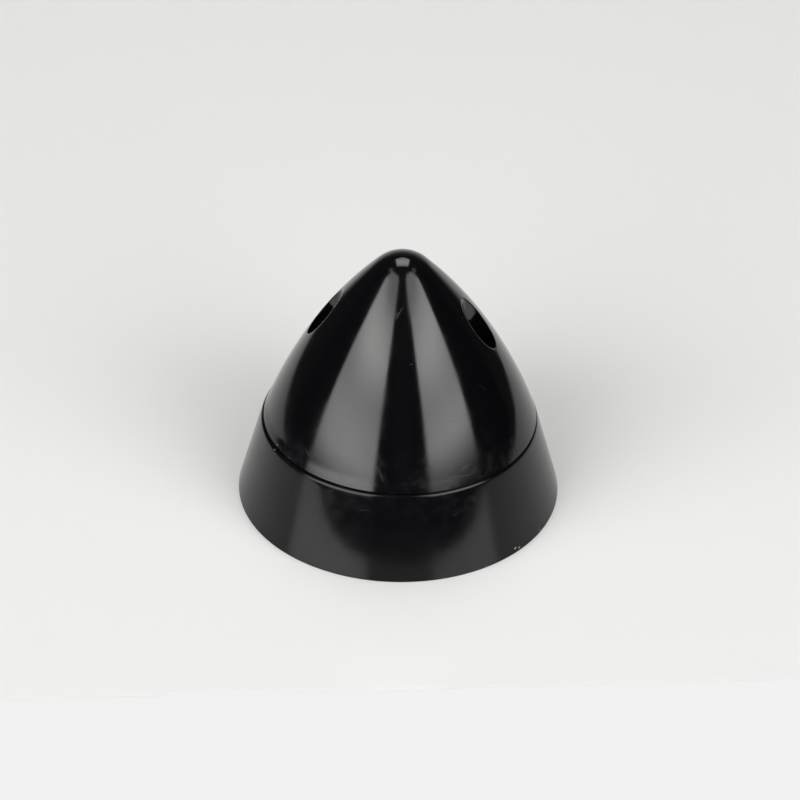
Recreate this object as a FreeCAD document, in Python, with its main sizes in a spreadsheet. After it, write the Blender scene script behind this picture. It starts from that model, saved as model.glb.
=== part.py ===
import FreeCAD, Part
import math
import operator
import os
import Sketcher

# Spinner for the propeller of a model aircraft: a hollow nose cone standing on a backplate with a deep
# conical skirt, held down by two self-tapping screws at the bottom of wells moulded into the cone.
#
# Millimetres. The propeller shaft's axis is +Z, and the open rim of the skirt stands on Z = 0. The two
# wells lie on the X axis, one each side.

sizes = {
    # The skirt and the disc across its front.
    "base_dia": 57.0,        # outside of the skirt at its open rim
    "skirt_height": 15.2,    # open rim to the seam under the cone
    "skirt_top_dia": 48.7,   # outside of the skirt at the seam
    "skirt_wall": 2.0,       # measured across the axis
    "web_thickness": 3.0,    # the disc
    "skirt_edge_break": 0.25,  # bevel on the skirt's upper outer edge, beside the seam
    "rim_edge_break": 0.15,  # bevel on its lower outer edge

    # The cone's outer form: a round nose running into one long arc on each side.
    "cone_base_dia": 48.0,
    "cone_height": 33.0,     # seam to the tip
    "nose_radius": 6.6,
    "side_radius": 88.0,
    "cone_wall": 2.0,
    "cone_edge_break": 0.15,  # bevel on the cone's lower outer edge

    # The rebate in the cone's lower edge, and the ring on the disc that it fits over.
    "rebate_wall": 2.45,     # cone's outside to the rebate, at the seam
    "spigot_wall": 1.6,
    "spigot_height": 2.0,
    "fit_gap": 0.15,         # clearance between ring and rebate, on the radius and on top

    # The screw wells and the tubes round them, which reach down from the cone's wall to the disc.
    "well_offset": 13.3,     # well axis to shaft axis
    "well_dia": 6.0,
    "tube_wall": 1.5,
    "tube_floor": 3.0,       # what the screw head presses on
    "tube_gap": 0.1,         # left above the disc, so that the cone's rim seats first
    "fin_thickness": 1.2,    # rib between a tube and the cone's wall

    # The self-tapping screws, whose shank is drawn plain at the middle of its thread.
    "head_dia": 5.6,
    "head_height": 2.4,
    "head_bevel": 0.8,
    "shank_dia": 2.6,
    "shank_length": 9.5,
    "point_length": 2.2,
    "recess_width": 0.8,
    "recess_span": 3.0,
    "recess_depth": 1.5,
    "thread_gap": 0.03,      # round the shank in the backplate
    "pass_gap": 0.3,         # round the shank in the cone's floor

    # The hub that the engine's drive washer and the propeller are clamped against.
    "shaft_bore": 8.0,
    "hub_dia": 18.0,
    "hub_rear_height": 3.0,  # below the disc
    "seat_dia": 16.0,
    "seat_height": 1.0,      # above the disc

    # What stiffens the back of the disc.
    "boss_dia": 7.0,         # round each screw
    "boss_height": 5.0,      # below the disc
    "rib_count": 8,
    "rib_thickness": 1.5,
    "rib_height": 2.4,       # below the disc, from the hub out
    "rib_bend_dia": 34.0,    # where a rib turns down along the skirt
    "rib_foot": 3.0,         # its lower end above the open rim
}


class Size:
    """A number together with the formula it comes from, for drawing a thing and binding it."""

    def __init__(self, value, formula):
        self.value = value
        self.formula = formula


def joining(sign, work_out):
    """The method by which one sign joins a size to another size or to a plain number."""

    def join(self, other):
        if not isinstance(other, Size):
            other = Size(other, str(other))
        return Size(work_out(self.value, other.value), f"({self.formula} {sign} {other.formula})")

    return join


Size.__add__ = joining("+", operator.add)
Size.__sub__ = joining("-", operator.sub)
Size.__mul__ = joining("*", operator.mul)
Size.__truediv__ = joining("/", operator.truediv)


def root(length):
    return Size(math.sqrt(length.value), f"sqrt({length.formula})")


zero = Size(0.0, "0")
within_well = 0.9  # share of a well's radius, from its axis out to where the side arc is divided


def fill_sheet(document):
    """The sheet of driving sizes, and each of them as a Size by its name."""
    sheet = document.addObject("Spreadsheet::Sheet", "sizes")
    for row, (name, number) in enumerate(sizes.items(), start=1):
        sheet.set(f"A{row}", name.replace("_", " "))
        sheet.set(f"B{row}", str(number))
        sheet.setAlias(f"B{row}", name)
    document.recompute()
    return {name: Size(float(sheet.get(name)), f"sizes.{name}") for name in sizes}


def named(name, length):
    """Keeps a longer formula in the document under a name of its own, for other formulas to use."""
    worked_out.addProperty("App::PropertyFloat", name)
    worked_out.setExpression(name, length.formula)
    return Size(length.value, f"worked_out.{name}")


doc = FreeCAD.newDocument("spinner")
size = fill_sheet(doc)
worked_out = doc.addObject("App::VarSet", "worked_out")

base_r = size["base_dia"] / 2
skirt_top_r = size["skirt_top_dia"] / 2
cone_base_r = size["cone_base_dia"] / 2
rebate_r = cone_base_r - size["rebate_wall"]
spigot_r = rebate_r - size["fit_gap"]
bore_r = size["shaft_bore"] / 2
hub_r = size["hub_dia"] / 2
rib_bend_r = size["rib_bend_dia"] / 2

seam = size["skirt_height"]
tip = seam + size["cone_height"]
web_back = seam - size["web_thickness"]
spigot_top = seam + size["spigot_height"]
rebate_top = spigot_top + size["fit_gap"]
tube_foot = seam + size["tube_gap"]
screw_seat = tube_foot + size["tube_floor"]
hub_back = web_back - size["hub_rear_height"]
seat_top = seam + size["seat_height"]
skirt_taper = (base_r - skirt_top_r) / seam

well_sides = {"left": size["well_offset"] * -1, "right": size["well_offset"]}


def skirt_outside(height):
    """Outer radius of the skirt at a height."""
    return base_r - skirt_taper * height


def skirt_inside(height):
    return skirt_outside(height) - size["skirt_wall"]


# The centre of the side arc lies as far from the cone's lower corner as the arc's radius, and from the
# centre of the nose as that radius less the nose's, which makes the two arcs tangent. It is found by
# walking from the corner along the line to the nose's centre and then square off it.
nose_centre = named("nose_centre", tip - size["nose_radius"])
rise = nose_centre - seam
apart = named("corner_to_nose", root(cone_base_r * cone_base_r + rise * rise))
short_reach = size["side_radius"] - size["nose_radius"]
side_square = size["side_radius"] * size["side_radius"]
along = named("along", (apart * apart + side_square - short_reach * short_reach) / apart / 2)
aside = named("aside", root(side_square - along * along))
side_centre_r = named("side_centre_r", cone_base_r - (cone_base_r * along + rise * aside) / apart)
side_centre_z = named("side_centre_z", seam + (rise * along - cone_base_r * aside) / apart)


def cone_radius(height, inset):
    """Radius of the side arc at a height, drawn `inset` inside the cone's outer surface."""
    reach = size["side_radius"] - inset
    up = height - side_centre_z
    return side_centre_r + root(reach * reach - up * up)


def height_at(radius):
    """Height at which the cone's outer surface has a radius."""
    across = radius - side_centre_r
    return side_centre_z + root(side_square - across * across)


def side_levels(start, inset):
    """Heights at which the side arc is divided, from `start` up to where it runs into the nose arc. The
    two between lie just inside the ends of the wells: undivided, the swept arc makes twice the facets."""
    reach = size["well_dia"] / 2 * within_well
    low = height_at(size["well_offset"] + reach)
    high = height_at(size["well_offset"] - reach)
    arcs_meet = nose_centre + (nose_centre - side_centre_z) * (size["nose_radius"] - inset) / short_reach
    return [start, low, high, arcs_meet]


# ---- drawing and binding


def new_body(name):
    body = doc.addObject("PartDesign::Body", name)
    body.Label = name
    return body


def origin_feature(body, role):
    return next(feature for feature in body.Origin.OriginFeatures if feature.Role == role)


def new_sketch(body, name, role, lift=zero):
    """A sketch on one of the body's own origin planes, lifted off it along its normal."""
    sketch = body.newObject("Sketcher::SketchObject", name)
    sketch.AttachmentSupport = [(origin_feature(body, role), "")]
    sketch.MapMode = "FlatFace"
    sketch.setExpression("AttachmentOffset.Base.z", lift.formula)
    return sketch


def bind(sketch, length, kind, *places):
    """A dimension in a sketch, bound to its size."""
    index = sketch.addConstraint(Sketcher.Constraint(kind, *places, length.value))
    sketch.setExpression(f"Constraints[{index}]", length.formula)


def tie(sketch, kind, *places):
    sketch.addConstraint(Sketcher.Constraint(kind, *places))


def bind_point(sketch, geometry, end, across, up):
    bind(sketch, across, "DistanceX", geometry, end)
    bind(sketch, up, "DistanceY", geometry, end)


def vector(across, up):
    return FreeCAD.Vector(across.value, up.value, 0)


def open_line(sketch, corners):
    """Straight lines from corner to corner, each corner bound to its own sizes."""
    points = [vector(*corner) for corner in corners]
    lines = [sketch.addGeometry(Part.LineSegment(*pair)) for pair in zip(points, points[1:])]
    for line, corner in zip(lines, corners):
        bind_point(sketch, line, 1, *corner)
    bind_point(sketch, lines[-1], 2, *corners[-1])
    for line, following in zip(lines, lines[1:]):
        tie(sketch, "Coincident", line, 2, following, 1)
    return lines[0], lines[-1]


def outline(sketch, corners):
    """A closed outline of straight lines."""
    first, last = open_line(sketch, corners)
    connect(sketch, (last, 2), (first, 1))


def end_point(sketch, place):
    geometry, end = place
    return sketch.getPoint(geometry, end)


def connect(sketch, start, finish):
    """A straight line between two ends that the sketch already has."""
    line = sketch.addGeometry(Part.LineSegment(end_point(sketch, start), end_point(sketch, finish)))
    tie(sketch, "Coincident", line, 1, *start)
    tie(sketch, "Coincident", line, 2, *finish)


def circle(sketch, across, diameter):
    """A circle centred on the sketch's first axis."""
    round_line = Part.Circle(vector(across, zero), FreeCAD.Vector(0, 0, 1), diameter.value / 2)
    index = sketch.addGeometry(round_line)
    bind_point(sketch, index, 3, across, zero)
    bind(sketch, diameter, "Diameter", index)


def arc(sketch, centre, radius, start, finish):
    """An arc about a centre, from the direction of one point round to that of another."""
    whole = Part.Circle(centre, FreeCAD.Vector(0, 0, 1), radius.value)
    directions = [math.atan2(point.y - centre.y, point.x - centre.x) for point in (start, finish)]
    index = sketch.addGeometry(Part.ArcOfCircle(whole, *directions))
    bind(sketch, radius, "Radius", index)
    return index


def revolve(body, sketch, name):
    feature = body.newObject("PartDesign::Revolution", name)
    feature.Profile = sketch
    feature.ReferenceAxis = (sketch, ["V_Axis"])
    feature.Angle = 360
    sketch.Visibility = False
    body.Tip = feature
    return feature


def pad(body, sketch, name, length):
    """A pad along the sketch's normal."""
    feature = body.newObject("PartDesign::Pad", name)
    feature.Profile = sketch
    feature.setExpression("Length", length.formula)
    body.Tip = feature
    return feature


def bore_up(body, sketch, name):
    """A pocket from the sketch upwards through everything above it."""
    doc.recompute()
    before = body.Shape.Volume
    feature = body.newObject("PartDesign::Pocket", name)
    feature.Profile = sketch
    feature.Type = "ThroughAll"
    feature.Reversed = True
    body.Tip = feature
    doc.recompute()
    if body.Shape.Volume >= before:
        raise RuntimeError(f"{name} cuts nothing")
    return feature


# ---- the nose cone


def outer_ogive(sketch, foot):
    """The cone's side arc and nose arc, the side arc starting at the height `foot`. Returns its lower end
    and the tip."""
    centre = vector(side_centre_r, side_centre_z)
    heights = side_levels(foot, zero)
    points = [vector(cone_radius(height, zero), height) for height in heights]
    lifts = [arc(sketch, centre, size["side_radius"], *pair) for pair in zip(points, points[1:])]
    nose = arc(sketch, vector(zero, nose_centre), size["nose_radius"], points[-1], vector(zero, tip))

    bind_point(sketch, lifts[0], 3, side_centre_r, side_centre_z)
    bind(sketch, foot, "DistanceY", lifts[0], 1)
    for lift, height in zip(lifts, heights[1:]):
        bind(sketch, height, "DistanceY", lift, 2)
    for lower, upper in zip(lifts, lifts[1:] + [nose]):
        tie(sketch, "Tangent", lower, 2, upper, 1)
    tie(sketch, "PointOnObject", nose, 2, -2)
    return (lifts[0], 1), (nose, 2)


def outer_form(body):
    """The cone's outer form as a solid, with a small bevel round its lower edge."""
    sketch = new_sketch(body, "outer_section", "YZ_Plane")
    foot, top = outer_ogive(sketch, seam + size["cone_edge_break"])
    first, last = open_line(sketch, [(cone_base_r - size["cone_edge_break"], seam), (zero, seam)])
    connect(sketch, foot, (first, 1))
    connect(sketch, (last, 2), top)
    revolve(body, sketch, "outer_form")


def hollow_form(body):
    """The cone's hollow as a solid: the rebate that fits over the centring ring, straight tapers a wall's
    thickness inside the side arc, and a round end inside the nose."""
    wall = size["cone_wall"]
    sketch = new_sketch(body, "hollow_section", "YZ_Plane")
    tapers = [(cone_radius(height, wall), height) for height in side_levels(rebate_top, wall)]
    below = seam - wall
    first, last = open_line(sketch, [(zero, below), (rebate_r, below), (rebate_r, rebate_top)] + tapers)
    end_top = tip - wall
    end = arc(sketch, vector(zero, nose_centre), size["nose_radius"] - wall, vector(*tapers[-1]),
              vector(zero, end_top))
    tie(sketch, "Coincident", last, 2, end, 1)
    bind_point(sketch, end, 2, zero, end_top)
    connect(sketch, (end, 2), (first, 1))
    revolve(body, sketch, "hollow_form")


def cone_core():
    """What the mould's core takes up inside the cone: the hollow less the screw tubes and their fins."""
    body = new_body("cone_core")
    hollow_form(body)

    tubes = new_sketch(body, "tube_places", "XY_Plane", tube_foot)
    for place in well_sides.values():
        circle(tubes, place, size["well_dia"] + size["tube_wall"] * 2)
    bore_up(body, tubes, "tube_holes")

    half = size["fin_thickness"] / 2
    fins = new_sketch(body, "fin_places", "XY_Plane", rebate_top)
    for place in well_sides.values():
        beyond = place * (cone_base_r / size["well_offset"])
        outline(fins, [(place, half * -1), (beyond, half * -1), (beyond, half), (place, half)])
    bore_up(body, fins, "fin_slots")
    return body


def nose_cone():
    """The cone: its outer form, hollowed by the core, with the wells and screw holes cut last."""
    core = cone_core()
    body = new_body("nose_cone")
    outer_form(body)
    hollow = body.newObject("PartDesign::Boolean", "hollowed")
    hollow.setObjects([core])
    hollow.Type = "Cut"
    body.Tip = hollow

    wells = new_sketch(body, "well_places", "XY_Plane", screw_seat)
    holes = new_sketch(body, "screw_places", "XY_Plane", seam)
    for place in well_sides.values():
        circle(wells, place, size["well_dia"])
        circle(holes, place, size["shank_dia"] + size["pass_gap"] * 2)
    bore_up(body, wells, "wells")
    bore_up(body, holes, "screw_holes")
    return body


# ---- the backplate


def backplate():
    """Skirt, disc, centring ring and hub turned as one section, with ribs and screw bosses behind."""
    body = new_body("backplate")
    section = new_sketch(body, "turned_section", "YZ_Plane")
    rim_break = size["rim_edge_break"]
    top_break = size["skirt_edge_break"]
    spigot_inside = spigot_r - size["spigot_wall"]
    seat_r = size["seat_dia"] / 2
    outline(section, [
        (bore_r, hub_back), (hub_r, hub_back), (hub_r, web_back),
        (skirt_inside(web_back), web_back), (skirt_inside(zero), zero),
        (base_r - rim_break, zero), (skirt_outside(rim_break), rim_break),
        (skirt_outside(seam - top_break), seam - top_break), (skirt_top_r - top_break, seam),
        (spigot_r, seam), (spigot_r, spigot_top), (spigot_inside, spigot_top), (spigot_inside, seam),
        (seat_r, seam), (seat_r, seat_top), (bore_r, seat_top),
    ])
    revolve(body, section, "turned_form")

    bosses = new_sketch(body, "boss_places", "XY_Plane", web_back - size["boss_height"])
    for place in well_sides.values():
        circle(bosses, place, size["boss_dia"])
    pad(body, bosses, "bosses", size["boss_height"] + size["web_thickness"] / 2)

    add_ribs(body)

    pilots = new_sketch(body, "pilot_places", "XY_Plane")
    for place in well_sides.values():
        circle(pilots, place, size["shank_dia"] + size["thread_gap"] * 2)
    bore_up(body, pilots, "pilot_holes")
    return body


def add_ribs(body):
    """Radial ribs behind the disc: shallow beside the hub, then turning down along the skirt. Each runs
    into the hub and to the middle of the skirt's wall."""
    sketch = new_sketch(body, "rib_section", "XZ_Plane")
    in_hub = (bore_r + hub_r) / 2
    in_web = web_back + size["web_thickness"] / 2
    in_wall = size["skirt_wall"] / 2
    rib_back = web_back - size["rib_height"]
    outline(sketch, [
        (in_hub, in_web), (in_hub, rib_back), (rib_bend_r, rib_back),
        (skirt_inside(size["rib_foot"]), size["rib_foot"]),
        (skirt_inside(size["rib_foot"]) + in_wall, size["rib_foot"]),
        (skirt_inside(in_web) + in_wall, in_web),
    ])
    rib = pad(body, sketch, "rib", size["rib_thickness"])
    rib.SideType = "Symmetric"

    ribs = body.newObject("PartDesign::PolarPattern", "ribs")
    ribs.Originals = [rib]
    ribs.Axis = (origin_feature(body, "Z_Axis"), [""])
    ribs.Angle = 360
    ribs.setExpression("Occurrences", "sizes.rib_count")
    body.Tip = ribs


# ---- the screws


def cone_screw(side):
    """A self-tapping screw with a bevelled pan head, modelled about its own axis with the head's
    underside at zero, and then placed on the floor of its well."""
    body = new_body(f"cone_screw_{side}")
    head_r = size["head_dia"] / 2
    shank_r = size["shank_dia"] / 2
    length = size["shank_length"] * -1
    bevel = size["head_bevel"]
    section = new_sketch(body, f"screw_section_{side}", "YZ_Plane")
    outline(section, [
        (zero, length), (shank_r, length + size["point_length"]), (shank_r, zero),
        (head_r, zero), (head_r, size["head_height"] - bevel),
        (head_r - bevel, size["head_height"]), (zero, size["head_height"]),
    ])
    revolve(body, section, f"screw_form_{side}")

    cut_cross_recess(body, side)
    body.setExpression(".Placement.Base.x", well_sides[side].formula)
    body.setExpression(".Placement.Base.z", screw_seat.formula)
    return body


def cut_cross_recess(body, side):
    """One slot across the head, repeated at a right angle."""
    half_span = size["recess_span"] / 2
    half_width = size["recess_width"] / 2
    floor = size["head_height"] - size["recess_depth"]
    slot_sketch = new_sketch(body, f"slot_section_{side}", "XY_Plane", floor)
    outline(slot_sketch, [
        (half_span * -1, half_width * -1), (half_span, half_width * -1),
        (half_span, half_width), (half_span * -1, half_width),
    ])
    slot = bore_up(body, slot_sketch, f"slot_{side}")
    cross = body.newObject("PartDesign::PolarPattern", f"cross_{side}")
    cross.Originals = [slot]
    cross.Axis = (origin_feature(body, "Z_Axis"), [""])
    cross.Angle = 90
    cross.Occurrences = 2
    body.Tip = cross


# ---- building, checking and writing


def check(parts):
    """Stops if any feature failed or any piece isn't one sound solid."""
    doc.recompute()
    failed = [item.Name for item in doc.Objects if "Invalid" in item.State or "Error" in item.State]
    if failed:
        raise RuntimeError(f"failed to build: {failed}")
    for part in parts:
        shape = part.Shape
        if shape.isNull() or not shape.isValid() or len(shape.Solids) != 1:
            raise RuntimeError(f"{part.Label} isn't one sound solid")


def write(parts):
    os.makedirs("parts", exist_ok=True)
    for part in parts:
        part.Shape.exportStep(f"parts/{part.Label}.step")
        box = part.Shape.BoundBox
        print(f"{part.Label}: {part.Shape.Volume:.0f} cubic mm, Z {box.ZMin:.2f} to {box.ZMax:.2f}")


pieces = [backplate(), nose_cone(), cone_screw("left"), cone_screw("right")]
check(pieces)
write(pieces)
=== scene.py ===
import math
import bpy
import numpy as np
from mathutils import Matrix, Quaternion, Vector


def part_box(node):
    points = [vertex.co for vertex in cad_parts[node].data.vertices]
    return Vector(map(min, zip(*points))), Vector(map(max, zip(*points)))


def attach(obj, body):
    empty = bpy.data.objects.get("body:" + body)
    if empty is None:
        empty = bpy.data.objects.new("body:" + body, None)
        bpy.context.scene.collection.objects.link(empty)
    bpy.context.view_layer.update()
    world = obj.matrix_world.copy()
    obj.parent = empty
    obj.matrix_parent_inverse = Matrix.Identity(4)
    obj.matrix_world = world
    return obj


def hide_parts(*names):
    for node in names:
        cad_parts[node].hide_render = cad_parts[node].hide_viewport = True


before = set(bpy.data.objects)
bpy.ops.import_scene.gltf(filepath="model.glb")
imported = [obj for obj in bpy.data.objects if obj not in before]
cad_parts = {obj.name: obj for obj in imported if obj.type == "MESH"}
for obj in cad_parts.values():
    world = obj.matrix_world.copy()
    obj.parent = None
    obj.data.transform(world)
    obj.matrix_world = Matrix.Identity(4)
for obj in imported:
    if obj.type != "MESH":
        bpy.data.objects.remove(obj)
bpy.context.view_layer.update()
millimetre = 0.001
coneLow, coneHigh = [np.array(corner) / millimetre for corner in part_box("nose_cone")]
seam, tip = coneLow[2], coneHigh[2]
print("frame loaded")

# Tools for meshes: all lengths are millimetres until a mesh is written


def newSurface():
    return {"points": [], "faces": [], "count": 0}


def addPoints(surface, points):
    # returns the new points' numbers in the same grid as the points
    numbers = surface["count"] + np.arange(points[..., 0].size).reshape(points.shape[:-1])
    surface["points"].append(points.reshape(-1, 3))
    surface["count"] += numbers.size
    return numbers


def addQuads(surface, rows, closed=True, keep=None):
    # quads between neighbouring rows of point numbers, each row running round the axis
    following = np.roll(rows, -1, axis=1)
    quads = np.stack([rows[:-1], following[:-1], following[1:], rows[1:]], axis=-1)
    if not closed:
        quads = quads[:, :-1]
    if keep is not None:
        quads = quads[keep]
    surface["faces"] += quads.reshape(-1, 4).tolist()


def addFan(surface, row, pole, upward):
    # triangles from a closed row of points to one point
    centre = int(addPoints(surface, np.array([pole], float))[0])
    following = np.roll(row, -1)
    first, second = (row, following) if upward else (following, row)
    surface["faces"] += [[a, b, centre] for a, b in zip(first.tolist(), second.tolist())]


def turned(profile, angles):
    # a section of radius and height carried round the axis: x = radius cos angle, y = radius sin angle
    radius, height = profile[:, :1], profile[:, 1:2]
    return np.stack([radius * np.cos(angles), radius * np.sin(angles), height + 0 * angles], axis=-1)


def bevelled(corners, steps=7):
    # a section whose corners are (radius, height, rounding): each is cut by a curve that leaves the
    # corner's two sides at the rounding's distance and bends as a parabola between them
    corners = np.array(corners, float)
    places, size = corners[:, :2], corners[:, 2]
    section = []
    for index, (place, reach) in enumerate(zip(places, size)):
        if reach == 0:
            section.append(place[None])
            continue
        sides = [places[index - 1] - place, places[(index + 1) % len(places)] - place]
        start, end = [place + side / np.linalg.norm(side) * reach for side in sides]
        t = np.linspace(0, 1, steps)[:, None]
        section.append((1 - t) ** 2 * start + 2 * t * (1 - t) * place + t ** 2 * end)
    return np.concatenate(section)


def subdivided(section, longest):
    # the same section with points added, so that none of its sides is longer than stated
    pieces = []
    for start, end in zip(section[:-1], section[1:]):
        count = max(1, math.ceil(np.linalg.norm(end - start) / longest))
        pieces.append(start + (end - start) * np.arange(count)[:, None] / count)
    return np.concatenate(pieces + [section[-1:]])


def makePiece(name, surface, material, sharpAngle=40):
    mesh = bpy.data.meshes.new(name)
    points = np.concatenate(surface["points"]) * millimetre
    mesh.from_pydata(points.tolist(), [], surface["faces"])
    mesh.validate()
    mesh.shade_smooth()
    mesh.set_sharp_from_angle(angle=math.radians(sharpAngle))
    mesh.materials.append(material)
    piece = bpy.data.objects.new(name, mesh)
    bpy.context.scene.collection.objects.link(piece)
    return piece


# Tools for materials


def linear(hexColour):
    # sRGB written as hex, turned to linear red, green, blue and alpha
    parts = [int(hexColour[i:i + 2], 16) / 255 for i in (1, 3, 5)]
    return [p / 12.92 if p <= 0.04045 else ((p + 0.055) / 1.055) ** 2.4 for p in parts] + [1.0]


def newMaterial(name):
    material = bpy.data.materials.new(name)
    material.use_nodes = True
    material.node_tree.nodes.clear()
    return material


def node(tree, kind, settings=None, values=None, links=None):
    # adds a node, sets its properties and sockets, and links other nodes' outputs to its inputs
    made = tree.nodes.new("ShaderNode" + kind)
    for name, value in (settings or {}).items():
        setattr(made, name, value)
    for socket, value in (values or {}).items():
        made.inputs[socket].default_value = value
    for socket, output in (links or {}).items():
        tree.links.new(output, made.inputs[socket])
    return made


perMetre = 1000  # a pattern of one millimetre has this scale on Object coordinates

plasticIor = 1.5

# Patterns of the plastic, with lengths in millimetres
ripple = {"width": 1.6, "detail": 2.0, "strength": 0.02, "height": 0.2}           # faint, left by the mould
cloud = {"width": 9.0, "detail": 5.0, "grain": 0.62, "low": 0.35, "high": 0.75}  # duller and brighter gloss
handled = {                  # blotches on either side of the seam
    "width": 2.4,
    "detail": 6.0,
    "grain": 0.7,
    "low": 0.45,
    "high": 0.72,
    "reach": 9.5,            # from the seam to where they end
    "roughness": 0.25,
    "tint": "#121214",
}
markDepth = 0.4              # how far a mark's ellipsoid reaches off the surface


def inMarks(tree, place, marks, softness, surfacePoint):
    # 1 inside any of the marks, 0 outside. A mark is a thin ellipsoid round the line between two places on
    # the surface, each an angle in degrees and a height, and its last number is its width. Softness is the
    # share of that width over which it fades
    total = None
    for firstAngle, firstHeight, lastAngle, lastHeight, width in marks:
        start, end = surfacePoint(firstAngle, firstHeight), surfacePoint(lastAngle, lastHeight)
        along = (end - start).normalized()
        outward = Vector(((start.x + end.x), (start.y + end.y), 0)).normalized()
        sideways = outward.cross(along).normalized()
        turn = Matrix((along, sideways, along.cross(sideways))).transposed().to_euler()
        size = Vector(((end - start).length / 2, width / 2, markDepth))
        local = node(tree, "Mapping", {"vector_type": "TEXTURE"}, {
            "Location": (start + end) / 2 * millimetre, "Rotation": turn, "Scale": size * millimetre},
            {"Vector": place})
        ball = node(tree, "TexGradient", {"gradient_type": "SPHERICAL"}, links={"Vector": local.outputs[0]})
        share = ball.outputs["Fac"]
        if total is not None:
            share = node(tree, "Math", {"operation": "MAXIMUM"}, links={0: total, 1: share}).outputs[0]
        total = share
    return node(tree, "MapRange", values={"From Max": softness}, links={"Value": total}).outputs["Result"]


def mixed(tree, kind, share, first, second):
    # first and second by share: each is a value or another node's output
    places = {"FLOAT": (0, 2, 3, 0), "RGBA": (0, 6, 7, 2)}[kind]
    given = dict(zip(places[1:3], (first, second)))
    linked = {socket: value for socket, value in given.items() if isinstance(value, bpy.types.NodeSocket)}
    fixed = {socket: value for socket, value in given.items() if socket not in linked}
    made = node(tree, "Mix", {"data_type": kind}, fixed, {places[0]: share, **linked})
    return made.outputs[places[3]]


def patches(tree, place, pattern):
    # noise in patches of the pattern's width, broken up by its detail and grain
    values = {"Scale": perMetre / pattern["width"], "Detail": pattern["detail"]}
    if "grain" in pattern:
        values["Roughness"] = pattern["grain"]
    return node(tree, "TexNoise", values=values, links={"Vector": place}).outputs["Fac"]


def handledShare(tree, place):
    # 1 in the blotches left by handling, fading out with the distance from the seam
    height = node(tree, "SeparateXYZ", links={"Vector": place}).outputs["Z"]
    fromSeam = node(tree, "Math", {"operation": "SUBTRACT"}, {1: seam * millimetre}, {0: height}).outputs[0]
    apart = node(tree, "Math", {"operation": "ABSOLUTE"}, links={0: fromSeam}).outputs[0]
    near = node(tree, "MapRange", {"interpolation_type": "SMOOTHSTEP"},
                {"From Max": handled["reach"] * millimetre, "To Min": 1.0, "To Max": 0.0}, {"Value": apart})
    spots = patches(tree, place, handled)
    blotches = node(tree, "MapRange", {"interpolation_type": "SMOOTHSTEP"},
                    {"From Min": handled["low"], "From Max": handled["high"]}, {"Value": spots})
    return node(tree, "Math", {"operation": "MULTIPLY"},
                links={0: near.outputs["Result"], 1: blotches.outputs["Result"]}).outputs[0]


def mouldedNylon(name, look, surfacePoint):
    # black nylon, injection moulded in a polished tool: deep black with a clear gloss, faint ripples from
    # the mould, and smudges, hairline scratches and chips from use, which look dull and grey
    material = newMaterial(name)
    tree = material.node_tree
    place = node(tree, "TexCoord").outputs["Object"]
    ripples = patches(tree, place, ripple)
    clouds = patches(tree, place, cloud)
    gloss = node(tree, "MapRange", {"interpolation_type": "SMOOTHSTEP"}, {
        "From Min": cloud["low"], "From Max": cloud["high"],
        "To Min": look["roughness"], "To Max": look["roughness"] + look["clouding"]},
        {"Value": clouds}).outputs["Result"]
    worn = handledShare(tree, place)
    colour = mixed(tree, "RGBA", worn, linear(look["colour"]), linear(handled["tint"]))
    gloss = mixed(tree, "FLOAT", worn, gloss, handled["roughness"])
    for wear in look["wear"]:
        share = inMarks(tree, place, wear["marks"], wear["softness"], surfacePoint)
        colour = mixed(tree, "RGBA", share, colour, linear(wear["tint"]))
        gloss = mixed(tree, "FLOAT", share, gloss, wear["roughness"])
    relief = node(tree, "Bump", values={
        "Strength": ripple["strength"], "Distance": ripple["height"] * millimetre}, links={"Height": ripples})
    shader = node(tree, "BsdfPrincipled", values={"IOR": plasticIor, "Specular IOR Level": look["specular"]},
                  links={"Base Color": colour, "Roughness": gloss, "Normal": relief.outputs["Normal"]})
    node(tree, "OutputMaterial", links={"Surface": shader.outputs["BSDF"]})
    return material


zinc = {"colour": "#b3b4b0", "width": 1.2, "detail": 3.0, "smoothest": 0.25, "roughest": 0.42}


def zincPlate():
    # steel with bright zinc plating: pale grey metal, slightly clouded
    material = newMaterial("zinc plated steel")
    tree = material.node_tree
    place = node(tree, "TexCoord").outputs["Object"]
    clouds = patches(tree, place, zinc)
    rough = node(tree, "MapRange", values={"To Min": zinc["smoothest"], "To Max": zinc["roughest"]},
                 links={"Value": clouds})
    shader = node(tree, "BsdfPrincipled", values={"Base Color": linear(zinc["colour"]), "Metallic": 1.0},
                  links={"Roughness": rough.outputs["Result"]})
    node(tree, "OutputMaterial", links={"Surface": shader.outputs["BSDF"]})
    return material


# Turned bodies with tubes along their axis

columns = 288  # points round each turned body
columnAngles = np.arange(columns) * 2 * np.pi / columns
tubeAngles = {"left": np.pi, "right": 0.0}


def patchEdge(rows, outerRow, innerRow, middle, reach):
    # the point numbers round a patch of a turned grid, counterclockwise seen from above, starting at its
    # outer row: outer row, one side, inner row, other side
    columnsAcross = np.arange(middle - reach, middle + reach)
    step = 1 if innerRow > outerRow else -1
    down = np.arange(outerRow, innerRow, step)
    back = np.arange(middle + reach, middle - reach, -1)
    up = np.arange(innerRow, outerRow, -step)
    return np.concatenate([
        rows[outerRow, columnsAcross % columns],
        rows[down, (middle + reach) % columns],
        rows[innerRow, back % columns],
        rows[up, (middle - reach) % columns],
    ])


def inPatch(rowCount, firstRow, lastRow, reach):
    # true for the quads that a patch round each tube takes out of a turned grid
    first, last = sorted([firstRow, lastRow])
    taken = np.zeros((rowCount - 1, columns), bool)
    for angle in tubeAngles.values():
        middle = round(angle / (2 * np.pi) * columns)
        taken[first:last, np.arange(middle - reach, middle + reach) % columns] = True
    return taken


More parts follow.
